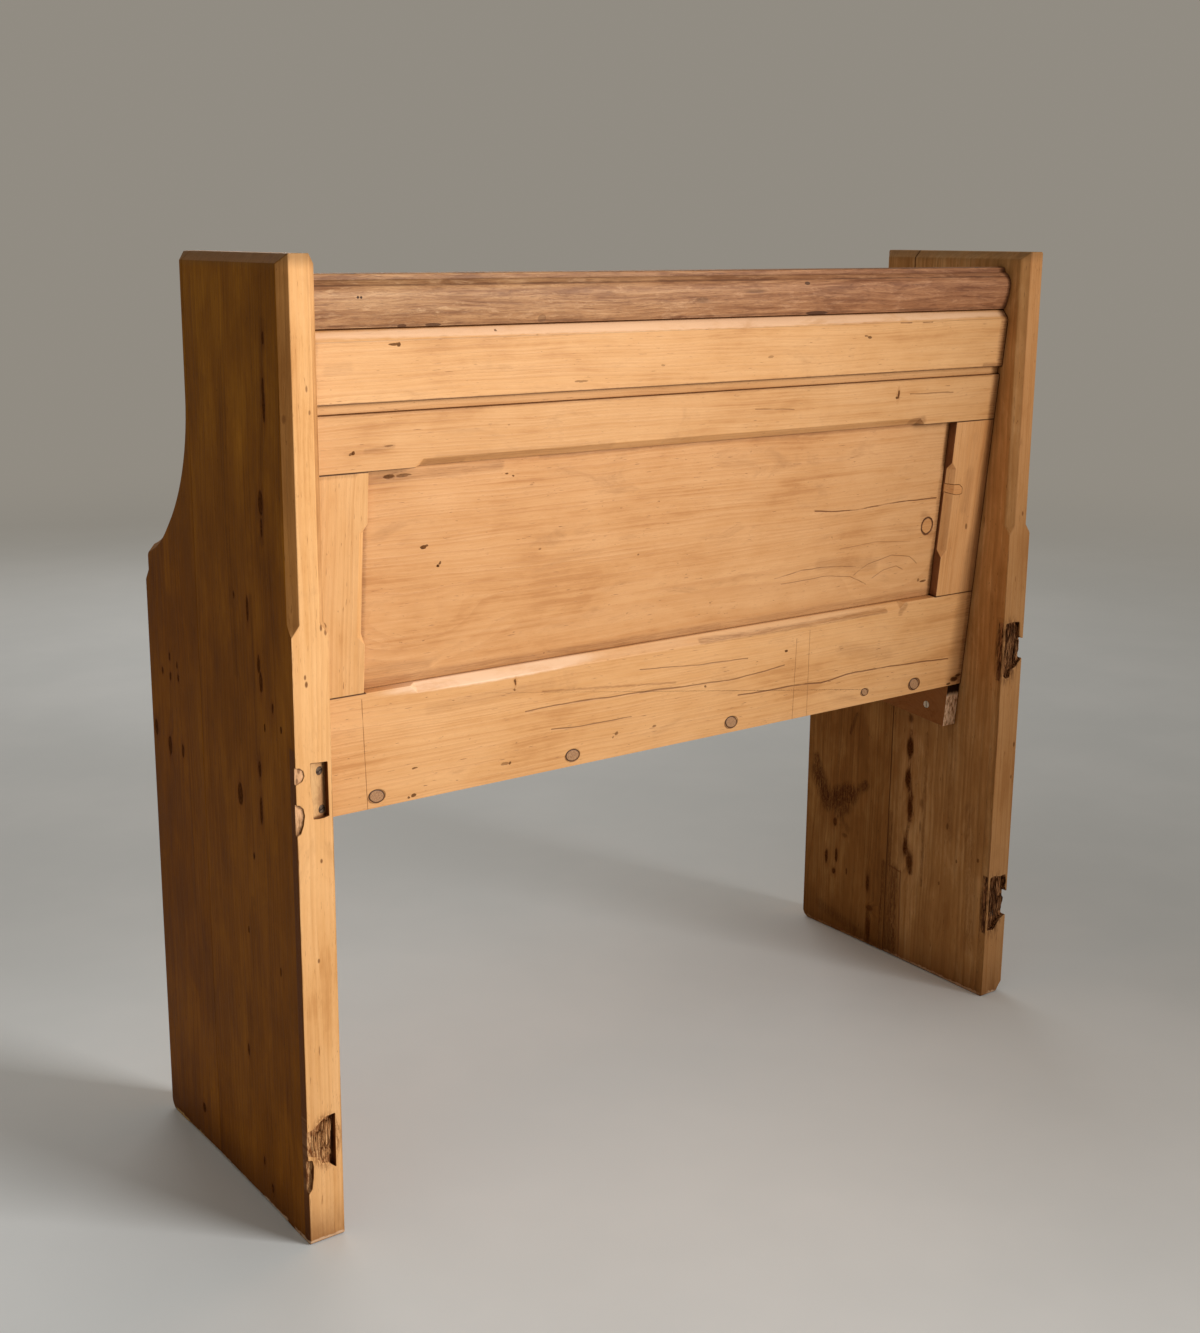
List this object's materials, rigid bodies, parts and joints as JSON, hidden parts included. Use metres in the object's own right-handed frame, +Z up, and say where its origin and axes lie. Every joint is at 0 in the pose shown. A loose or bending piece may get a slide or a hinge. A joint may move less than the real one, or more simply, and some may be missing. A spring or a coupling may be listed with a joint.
{
  "type": "pew bench",
  "caption": "Short pine pew with solid slab ends, curved arms, a raked framed and panelled back under a moulded hardwood cap, and a plank seat.",
  "frame": {"origin": "centre of the bench's footprint, on the floor", "axes": "+X along the bench to the sitter's left, -Y the way the sitter faces, +Z up"},
  "size_m": [1.02, 0.3748, 0.96],
  "materials": {
    "pine": "waxed old pine, fine straight grain, satin",
    "hardwood": "dark reddish brown hardwood, waxed and worn",
    "plug_wood": "end grain pine plugs, waxed",
    "patch_wood": "newer let-in pine, waxed",
    "dowel_wood": "plain turned dowel",
    "steel": "old slotted wood screws, dulled",
    "iron": "blackened iron nails"
  },
  "bodies": {
    "root": {"left_end_rear_board": "pine", "left_end_front_board": "pine", "right_end_rear_board": "pine", "right_end_front_board": "pine", "capping_rail": "hardwood", "top_rail": "pine", "middle_rail": "pine", "bottom_rail": "pine", "left_stile": "pine", "right_stile": "pine", "back_panel": "pine", "seat_rear_board": "pine", "seat_front_board": "pine", "left_seat_bearer": "pine", "right_seat_bearer": "pine", "seat_screw_plugs": "plug_wood", "seat_screws": "steel", "left_bearer_screws": "steel", "right_bearer_screws": "steel", "left_end_dowels": "dowel_wood", "right_end_dowels": "dowel_wood", "capping_rail_nails": "iron", "seat_nails": "iron", "left_recess_screws": "steel", "right_recess_screws": "steel", "panel_patch": "patch_wood", "stile_patch": "patch_wood"}
  },
  "joints": []
}
